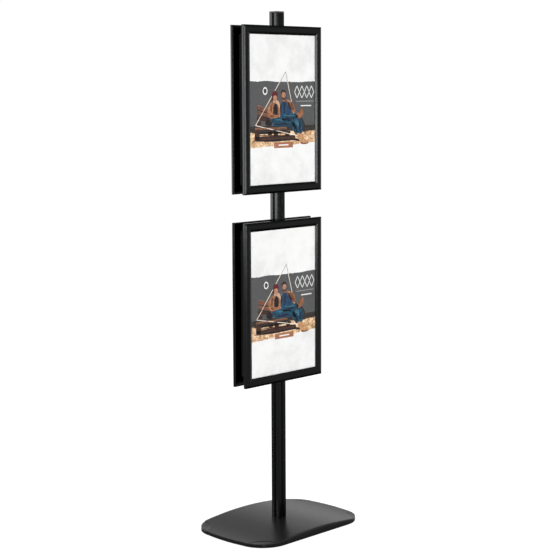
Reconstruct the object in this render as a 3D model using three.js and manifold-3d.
// A floor-standing sign stand: an arched steel base, a slotted square pole, and two tiers of
// back-to-back snap-open poster frames that slide in the pole's slots.
// Millimetres, +Z up, the poster faces look along -Y and +Y, and the origin is on the floor under
// the pole's axis.
import * as THREE from "three";
import { mergeVertices } from "three/addons/utils/BufferGeometryUtils.js";
import Module from "manifold-3d";

const wasm = await Module();
wasm.setup();

// ---- driving dimensions ----

// base
const BASE_WIDTH = 440;
const BASE_DEPTH = 300;
const BASE_CORNER = 82; // corner radius in plan
const BASE_END_BULGE = 5; // how far each end bows out of the straight
const BASE_RIM = 12.2; // height of the rim at the two ends
const BASE_HEIGHT = 24.5; // height at the crown of the arch
const ARCH_SHARPNESS = 1.15; // 1 is a plain cosine-squared arch, and more draws in its crown
const SHEET = 2; // thickness of the base cover
const FOOT_HEIGHT = 2; // clearance under the cover
const BALLAST = 6; // thickness of the ballast plate
const BALLAST_INSET = 5; // from the cover's outside to the plate's edge
const BALLAST_BOTTOM = FOOT_HEIGHT + 0.8; // just inside the cover's bottom edge
const BALLAST_TOP = BALLAST_BOTTOM + BALLAST;
const COVER_UNDERSIDE = BASE_HEIGHT - SHEET; // at the crown
const FOOT_RADIUS = 12;
const FOOT_CHAMFER = 0.8;
const FOOT_TAPER = 1; // how much narrower the foot is where it meets the plate
const FOOT_GAP = 0.2; // between the foot and the ballast plate
const FOOT_STEM = 3.5; // radius of the stem that plugs into the ballast plate
const FOOT_STEM_SHORT = 1; // how far the stem stops below the plate's top
const FOOT_PLACE = { x: 165, y: 98 };
const SOCKET_SIDE = 64; // the block that fills the base under the pole

// the bolt that holds the pole to the base
const BOLT_RADIUS = 3;
const BOLT_HEAD = 7; // radius of its head
const BOLT_HEAD_HEIGHT = 3.4;
const BOLT_TOP = BASE_HEIGHT + 40;
const HEX_RADIUS = 3; // its hexagon socket
const HEX_DEPTH = 2;

// pole
const POLE_SIDE = 30;
const POLE_TOP = 1466;
const CAP_HEIGHT = 4;
const CAP_BEVEL = 0.6;
const CAP_PLUG = 14; // how far the cap's plug reaches down the bore
const POLE_CORNER = 1.6;
const SLOT_MOUTH = 8;
const SLOT_LIP = 2; // wall left either side of the mouth
const SLOT_WIDTH = 15; // inside, behind the lips
const SLOT_DEPTH = 8.6; // from the pole's face to the slot's floor
const SLOT_FLOOR = 7; // width of the slot's floor
const SLOT_WALL = 1.6; // straight part of the slot's side, behind the lips
const BORE_RADIUS = 3.4;

// frames
const FRAME_WIDTH = 310;
const FRAME_HEIGHT = 462;
const FRAME_DEPTH = 11.8;
const RAIL_WIDTH = 25;
const POLE_CLEARANCE = 0.3; // between the pole's face and a frame's back
const LOWER_BOTTOM = 428;
const UPPER_BOTTOM = 968;
const MITRE_GAP = 0.15; // how far each rail is shortened at each end, so that mitres don't touch

// rail sections: u is in from the frame's edge, w is out from its back
const PIVOT = { u: 2.5, w: 2.5 }; // the snap hinge's axis
const BEAD_RADIUS = 2.2; // the bead that the snap rail turns on
const RAIL_FLOOR = 1; // thickness of the fixed rail's floor
const CHANNEL_END = 12.6; // where the spring channel stops
const CHANNEL_WALL = 1.5;
const CHANNEL_WALL_TOP = 8.3; // it fences the poster pack in
const PACK_SEAT = 5.8; // where the back panel rests
const SEAT_LEDGE = 1.2; // width of the step in the channel's wall that it rests on
const INNER_LEG = 1.4; // thickness of the leg along the inner edge that it rests on
const BASE_RAIL_WIDTH = 24;
const HOOK = { inside: 2.5, outside: 3.6, from: 135, to: -20 }; // radii and reach round the bead
const SKIN = 1.3; // wall of the snap rail
const SHOULDER = { outer: 6, inner: 7, drop: 2.2 }; // the slopes either side of the flat face
const LIP = { bottom: 8.5, pad: 2 }; // the lip that holds the cover down

// the poster pack: from and to are heights above the frame's back
const PACK_EDGE = 14.6; // from the frame's edge to the edge of each sheet
const BACK_PANEL = { from: 5.95, to: 6.9 };
const POSTER = { from: 7.1, to: 7.3 };
const CLEAR_COVER = { from: 7.8, to: 8.2 };

// slot sliders
const SLIDER_END = 4; // from the frame's end to the slider's end
const STUD_PLACE = 9.4; // from the frame's end to a stud
const STUD_RADIUS = 2;
const STUD_HOLE = 2.4;
const STUD_HEAD = { radius: 2.9, height: 1.7, above: 0.2 }; // above the rail's floor
const SLIDER_GAP = 0.4; // between the slider and the slot
const SLIDER_HEAD = 1.8; // height of the slider's wide part
const SLIDER_SIDE_GAP = 1; // between its wide part and the slot's sides

// fits
const GAP = 0.3; // between pieces that touch on the real stand
const HOLE_CLEARANCE = 0.5; // round the bolt
const THROUGH = 60; // longer than anything that is cut through

// ---- materials ----

const finish = (color, roughness, metalness) => () =>
  new THREE.MeshStandardMaterial({ color, roughness, metalness });
const powderCoat = finish(0x26282a, 0.45, 0.5);
const blackAluminium = finish(0x1d1f20, 0.38, 0.7);
const blackPlastic = finish(0x17181a, 0.55, 0);
const panelPlastic = finish(0x2c2d2e, 0.6, 0);
const bareSteel = finish(0x8c9094, 0.4, 1);
const plateSteel = finish(0x3d3f41, 0.6, 0.8);
const softRubber = finish(0x141414, 0.9, 0);
const posterPaper = finish(0xd9cfb8, 0.7, 0);
const clearSheet = () =>
  new THREE.MeshStandardMaterial({
    color: 0xffffff,
    roughness: 0.25,
    metalness: 0,
    transparent: true,
    opacity: 0.25,
  });

// ---- solids ----

// A closed three.js geometry as a solid, for joining and cutting.
function solid(geometry) {
  const bare = geometry.clone();
  bare.deleteAttribute("normal");
  bare.deleteAttribute("uv");
  const merged = mergeVertices(bare, 1e-4);
  return new wasm.Manifold(
    new wasm.Mesh({
      numProp: 3,
      vertProperties: new Float32Array(merged.attributes.position.array),
      triVerts: new Uint32Array(merged.index.array),
    }),
  );
}

// A solid back as a three.js geometry.
function geometryOf(made) {
  const mesh = made.getMesh();
  const geometry = new THREE.BufferGeometry();
  geometry.setAttribute(
    "position",
    new THREE.BufferAttribute(new Float32Array(mesh.vertProperties), 3),
  );
  geometry.setIndex(new THREE.BufferAttribute(new Uint32Array(mesh.triVerts), 1));
  geometry.computeVertexNormals();
  return geometry;
}

const radians = THREE.MathUtils.degToRad;

// Points on an arc, both ends included.
function arc(u, w, radius, fromDegrees, toDegrees, steps) {
  return Array.from({ length: steps + 1 }, (_, i) => {
    const a = radians(fromDegrees + ((toDegrees - fromDegrees) * i) / steps);
    return new THREE.Vector2(u + radius * Math.cos(a), w + radius * Math.sin(a));
  });
}

const point = (u, w) => new THREE.Vector2(u, w);

// A flat outline pushed up +Z by a height.
function prism(points, height, bottom = 0) {
  return new THREE.ExtrudeGeometry(new THREE.Shape(points), {
    depth: height,
    bevelEnabled: false,
  }).translate(0, 0, bottom);
}

function block(width, depth, height, x, y, z) {
  return new THREE.BoxGeometry(width, depth, height).translate(x, y, z);
}

// A round bar standing along Z.
function bar(radius, bottom, top, sides = 24) {
  return new THREE.CylinderGeometry(radius, radius, top - bottom, sides)
    .rotateX(Math.PI / 2)
    .translate(0, 0, (top + bottom) / 2);
}

const stand = new THREE.Group();

function add(name, geometry, material, parent = stand) {
  const mesh = new THREE.Mesh(geometry, material());
  mesh.name = name;
  parent.add(mesh);
  return mesh;
}

// ---- base ----

// The base's plan: a rounded rectangle whose ends bow out, drawn in from its edge by an inset.
function basePlan(inset) {
  const halfWidth = BASE_WIDTH / 2 - BASE_END_BULGE - inset;
  const halfDepth = BASE_DEPTH / 2 - inset;
  const radius = BASE_CORNER - inset;
  const x = halfWidth - radius;
  const y = halfDepth - radius;
  const bow = (side) =>
    Array.from({ length: 5 }, (_, i) => {
      const t = -1 + (2 * (i + 1)) / 6;
      return point(side * (halfWidth + BASE_END_BULGE * (1 - t * t)), side * t * y);
    });
  return [
    ...arc(x, y, radius, 0, 90, 10),
    ...arc(-x, y, radius, 90, 180, 10),
    ...bow(-1),
    ...arc(-x, -y, radius, 180, 270, 10),
    ...arc(x, -y, radius, 270, 360, 10),
    ...bow(1),
  ];
}

// Height of the base's top at a place along its length.
function archHeight(x) {
  const along = Math.min(1, Math.abs(x) / (BASE_WIDTH / 2)) ** ARCH_SHARPNESS;
  return BASE_RIM + (BASE_HEIGHT - BASE_RIM) * Math.cos((Math.PI / 2) * along) ** 2;
}

// Everything under the arched top, lowered by a drop, as a bar running along Y.
function underArch(drop) {
  const steps = 28;
  const end = BASE_WIDTH / 2 + 10;
  const crown = Array.from({ length: steps + 1 }, (_, i) => {
    const x = end * (1 - (2 * i) / steps);
    return point(x, archHeight(x) - drop);
  });
  const length = BASE_DEPTH + 40;
  return prism([point(-end, -THROUGH), point(end, -THROUGH), ...crown], length)
    .rotateX(Math.PI / 2)
    .translate(0, length / 2, 0);
}

const boltHole = () => solid(bar(BOLT_RADIUS + HOLE_CLEARANCE, 0, THROUGH));

function baseCover() {
  const outside = solid(prism(basePlan(0), THROUGH, FOOT_HEIGHT)).intersect(solid(underArch(0)));
  const inside = solid(prism(basePlan(SHEET), THROUGH, FOOT_HEIGHT - 1)).intersect(
    solid(underArch(SHEET)),
  );
  return geometryOf(outside.subtract(inside).subtract(boltHole()));
}

// The four places of the feet.
const FEET = ["left", "right"].flatMap((side) =>
  ["front", "back"].map((end) => ({
    name: `${end}_${side}_foot`,
    x: side === "left" ? -FOOT_PLACE.x : FOOT_PLACE.x,
    y: end === "front" ? -FOOT_PLACE.y : FOOT_PLACE.y,
  })),
);

// The plate that weighs the base down, with a counterbore for the bolt's head.
function ballastPlate() {
  const counterboreTop = BALLAST_BOTTOM + BOLT_HEAD_HEIGHT + GAP;
  let made = solid(prism(basePlan(BALLAST_INSET), BALLAST, BALLAST_BOTTOM))
    .subtract(boltHole())
    .subtract(solid(bar(BOLT_HEAD + 2 * HOLE_CLEARANCE, 0, counterboreTop)));
  for (const { x, y } of FEET)
    made = made.subtract(solid(bar(FOOT_STEM + GAP, 0, THROUGH).translate(x, y, 0)));
  return geometryOf(made);
}

// A foot with chamfered edges and a stem.
function rubberFoot() {
  const top = BALLAST_BOTTOM - FOOT_GAP;
  const stemTop = BALLAST_TOP - FOOT_STEM_SHORT;
  const profile = [
    point(0, 0),
    point(FOOT_RADIUS - FOOT_CHAMFER, 0),
    point(FOOT_RADIUS, FOOT_CHAMFER),
    point(FOOT_RADIUS - FOOT_TAPER, top),
    point(FOOT_STEM, top),
    point(FOOT_STEM, stemTop),
    point(0, stemTop),
  ];
  return new THREE.LatheGeometry(profile, 24).rotateX(Math.PI / 2);
}

// The block between the ballast plate and the crown of the cover.
function footSocket() {
  const bottom = BALLAST_TOP + GAP;
  const top = COVER_UNDERSIDE - 2 * GAP;
  const body = block(SOCKET_SIDE, SOCKET_SIDE, top - bottom, 0, 0, (top + bottom) / 2);
  return geometryOf(solid(body).subtract(boltHole()));
}

function baseBolt() {
  const head = solid(bar(BOLT_HEAD, BALLAST_BOTTOM, BALLAST_BOTTOM + BOLT_HEAD_HEIGHT));
  const shank = solid(bar(BOLT_RADIUS, BALLAST_BOTTOM + 1, BOLT_TOP));
  const hex = solid(bar(HEX_RADIUS, BALLAST_BOTTOM - 1, BALLAST_BOTTOM + HEX_DEPTH, 6));
  return geometryOf(head.add(shank).subtract(hex));
}

add("base_cover", baseCover(), powderCoat);
add("ballast_plate", ballastPlate(), plateSteel);
add("foot_socket", footSocket(), bareSteel);
add("base_bolt", baseBolt(), bareSteel);
for (const { name, x, y } of FEET) add(name, rubberFoot(), softRubber).position.set(x, y, 0);

// ---- pole ----

// The rounded corners of the pole's square.
const poleCorner = () =>
  arc(POLE_SIDE / 2 - POLE_CORNER, POLE_SIDE / 2 - POLE_CORNER, POLE_CORNER, 0, 90, 4);

// The pole's outline: one corner and the slot after it, turned to each of the four faces. Half the
// slot is drawn, as points (across the face, out from the axis), and then mirrored.
function poleSection() {
  const half = POLE_SIDE / 2;
  const mouth = SLOT_MOUTH / 2;
  const lip = half - SLOT_LIP;
  const inside = SLOT_WIDTH / 2;
  const floor = half - SLOT_DEPTH;
  const slot = [
    point(mouth, half),
    point(mouth, lip),
    point(inside, lip),
    point(inside, lip - SLOT_WALL),
    point(SLOT_FLOOR / 2, floor),
  ];
  const mirrored = slot.map((p) => point(-p.x, p.y)).reverse();
  return turnedFourTimes([...poleCorner(), ...slot, ...mirrored]);
}

// A run of points, and the same run after each quarter turn.
function turnedFourTimes(run) {
  return [0, 90, 180, 270].flatMap((turn) =>
    run.map((p) => p.clone().rotateAround(point(0, 0), radians(turn))),
  );
}

function pole() {
  const bottom = BASE_HEIGHT + GAP;
  const shape = new THREE.Shape(poleSection());
  shape.holes.push(new THREE.Path(arc(0, 0, BORE_RADIUS, 0, -345, 23)));
  return new THREE.ExtrudeGeometry(shape, {
    depth: POLE_TOP - bottom,
    bevelEnabled: false,
  }).translate(0, 0, bottom);
}

// A thin square lid with a bevelled top edge, and a plug for the pole's bore.
function poleCap() {
  const outline = turnedFourTimes(poleCorner());
  const bottom = POLE_TOP + GAP;
  const top = POLE_TOP + CAP_HEIGHT;
  const plate = prism(outline, top - CAP_BEVEL - bottom, bottom);
  const cornerRadius = (POLE_SIDE / 2) * Math.SQRT2;
  const bevel = new THREE.CylinderGeometry(
    cornerRadius - CAP_BEVEL * Math.SQRT2,
    cornerRadius,
    CAP_BEVEL,
    4,
  )
    .rotateX(Math.PI / 2)
    .rotateZ(Math.PI / 4)
    .translate(0, 0, top - CAP_BEVEL / 2);
  const lid = solid(bevel).intersect(solid(prism(outline, 2 * CAP_HEIGHT, bottom)));
  const plug = bar(BORE_RADIUS - GAP, POLE_TOP - CAP_PLUG, bottom + 1);
  return geometryOf(solid(plate).add(lid).add(solid(plug)));
}

add("pole", pole(), blackAluminium);
add("pole_cap", poleCap(), blackPlastic);

// ---- frames ----

// A frame is built lying down: x across, y up its height, z out from its back. Each rail is drawn
// as a section in (u, w), u in from the frame's edge and w out from its back.

// The fixed rail: a hinge bead along the outer edge, a spring channel, and a step and a leg that
// seat the poster pack. The bead's arc stops at the rail's floor.
function baseRailSection() {
  const wallEnd = CHANNEL_END + CHANNEL_WALL;
  const ledgeEnd = wallEnd + SEAT_LEDGE;
  const legStart = BASE_RAIL_WIDTH - INNER_LEG;
  const floorAngle = THREE.MathUtils.radToDeg(Math.asin((RAIL_FLOOR - PIVOT.w) / BEAD_RADIUS));
  return [
    point(PIVOT.u, 0),
    point(BASE_RAIL_WIDTH, 0),
    point(BASE_RAIL_WIDTH, PACK_SEAT),
    point(legStart, PACK_SEAT),
    point(legStart, RAIL_FLOOR),
    point(ledgeEnd, RAIL_FLOOR),
    point(ledgeEnd, PACK_SEAT),
    point(wallEnd, PACK_SEAT),
    point(wallEnd, CHANNEL_WALL_TOP),
    point(CHANNEL_END, CHANNEL_WALL_TOP),
    point(CHANNEL_END, RAIL_FLOOR),
    ...arc(PIVOT.u, PIVOT.w, BEAD_RADIUS, floorAngle, 240, 14),
  ];
}

// The snap rail: a flat face between two sloping shoulders, the lip that holds the cover down, and
// the hook that turns on the bead.
function snapRailSection() {
  const faceInside = FRAME_DEPTH - SKIN;
  const wallAngle = THREE.MathUtils.radToDeg(Math.acos((SKIN - PIVOT.u) / HOOK.outside));
  const wallFoot = PIVOT.w + PIVOT.u * Math.tan(radians(180 - HOOK.from));
  return [
    point(0, wallFoot),
    ...arc(PIVOT.u, PIVOT.w, HOOK.inside, HOOK.from, HOOK.to, 12),
    ...arc(PIVOT.u, PIVOT.w, HOOK.outside, HOOK.to, wallAngle, 9),
    point(SKIN, faceInside - SHOULDER.drop + SKIN / 4),
    point(SHOULDER.outer + SKIN / 4, faceInside),
    point(RAIL_WIDTH - SHOULDER.inner - SKIN / 4, faceInside),
    point(RAIL_WIDTH - LIP.pad, LIP.bottom),
    point(RAIL_WIDTH, LIP.bottom),
    point(RAIL_WIDTH, FRAME_DEPTH - SHOULDER.drop),
    point(RAIL_WIDTH - SHOULDER.inner, FRAME_DEPTH),
    point(SHOULDER.outer, FRAME_DEPTH),
    point(0, FRAME_DEPTH - SHOULDER.drop),
  ];
}

// A section run along one side of the frame and cut to its two mitres. Before it is turned into
// place the rail lies along x with u growing along +y.
function mitredRail(section, length) {
  const run = prism(section, length)
    .rotateX(Math.PI / 2)
    .rotateZ(Math.PI / 2)
    .translate(-length / 2, 0, 0);
  const half = length / 2 - MITRE_GAP;
  const far = RAIL_WIDTH + 10;
  const keep = prism(
    [
      point(-half - 1, -1),
      point(half + 1, -1),
      point(half - far, far),
      point(-half + far, far),
    ],
    THROUGH,
    -THROUGH / 2,
  );
  return solid(run).intersect(solid(keep));
}

const SIDES = [
  { side: "bottom", turn: 0, length: FRAME_WIDTH, reach: FRAME_HEIGHT / 2 },
  { side: "right", turn: 90, length: FRAME_HEIGHT, reach: FRAME_WIDTH / 2 },
  { side: "top", turn: 180, length: FRAME_WIDTH, reach: FRAME_HEIGHT / 2 },
  { side: "left", turn: 270, length: FRAME_HEIGHT, reach: FRAME_WIDTH / 2 },
];

// A rail's geometry turned to its side of a frame whose middle is the origin.
const toSide = (geometry, { turn, reach }) =>
  geometry.translate(0, -reach, 0).rotateZ(radians(turn));

function baseRail(place) {
  let made = mitredRail(baseRailSection(), place.length);
  if (place.length === FRAME_WIDTH)
    made = made.subtract(solid(bar(STUD_HOLE, -THROUGH, THROUGH).translate(0, STUD_PLACE, 0)));
  return toSide(geometryOf(made), place);
}

const snapRail = (place) =>
  toSide(geometryOf(mitredRail(snapRailSection(), place.length)), place);

// A flat sheet of the poster pack.
const packSheet = ({ from, to }) =>
  block(
    FRAME_WIDTH - 2 * PACK_EDGE,
    FRAME_HEIGHT - 2 * PACK_EDGE,
    to - from,
    0,
    0,
    (from + to) / 2,
  );

// The T-section bar in the pole's slot, with a headed stud through each of the two end rails. It
// lies in the frame's own coordinates, so the pole's face is just behind z = 0.
function slotSlider() {
  const length = FRAME_HEIGHT - 2 * SLIDER_END;
  const poleFace = -POLE_CLEARANCE;
  const neck = SLOT_MOUTH / 2 - SLIDER_GAP;
  const headTop = poleFace - SLOT_LIP - SLIDER_GAP;
  const headBottom = headTop - SLIDER_HEAD;
  const headWidth = SLOT_WIDTH / 2 - SLIDER_SIDE_GAP;
  const outline = [
    point(-headWidth, headBottom),
    point(headWidth, headBottom),
    point(headWidth, headTop),
    point(neck, headTop),
    point(neck, poleFace),
    point(-neck, poleFace),
    point(-neck, headTop),
    point(-headWidth, headTop),
  ];
  let made = solid(prism(outline, length).rotateX(Math.PI / 2).translate(0, length / 2, 0));
  const headBase = RAIL_FLOOR + STUD_HEAD.above;
  for (const end of [-1, 1]) {
    const y = end * (FRAME_HEIGHT / 2 - STUD_PLACE);
    const stud = bar(STUD_RADIUS, headTop, headBase + 1, 16).translate(0, y, 0);
    const head = bar(STUD_HEAD.radius, headBase, headBase + STUD_HEAD.height, 16).translate(0, y, 0);
    made = made.add(solid(stud)).add(solid(head));
  }
  return geometryOf(made);
}

// One frame, lying down in its own coordinates with its middle at the origin.
function frame(name) {
  const group = new THREE.Group();
  for (const place of SIDES) {
    add(`${name}_${place.side}_base_rail`, baseRail(place), blackAluminium, group);
    add(`${name}_${place.side}_snap_rail`, snapRail(place), blackAluminium, group);
  }
  add(`${name}_back_panel`, packSheet(BACK_PANEL), panelPlastic, group);
  add(`${name}_poster`, packSheet(POSTER), posterPaper, group);
  add(`${name}_cover`, packSheet(CLEAR_COVER), clearSheet, group);
  add(`${name}_slot_slider`, slotSlider(), bareSteel, group);
  return group;
}

// Stands a frame up on the front (-Y) or back (+Y) face of the pole.
function hang(name, bottom, face) {
  const lying = frame(name);
  lying.rotation.x = Math.PI / 2;
  lying.position.y = -(POLE_SIDE / 2 + POLE_CLEARANCE);
  const stood = new THREE.Group();
  stood.add(lying);
  stood.rotation.z = face === "front" ? 0 : Math.PI;
  stood.position.z = bottom + FRAME_HEIGHT / 2;
  stand.add(stood);
}

for (const [tier, bottom] of [
  ["lower", LOWER_BOTTOM],
  ["upper", UPPER_BOTTOM],
])
  for (const face of ["front", "back"]) hang(`${tier}_${face}`, bottom, face);

export default stand;
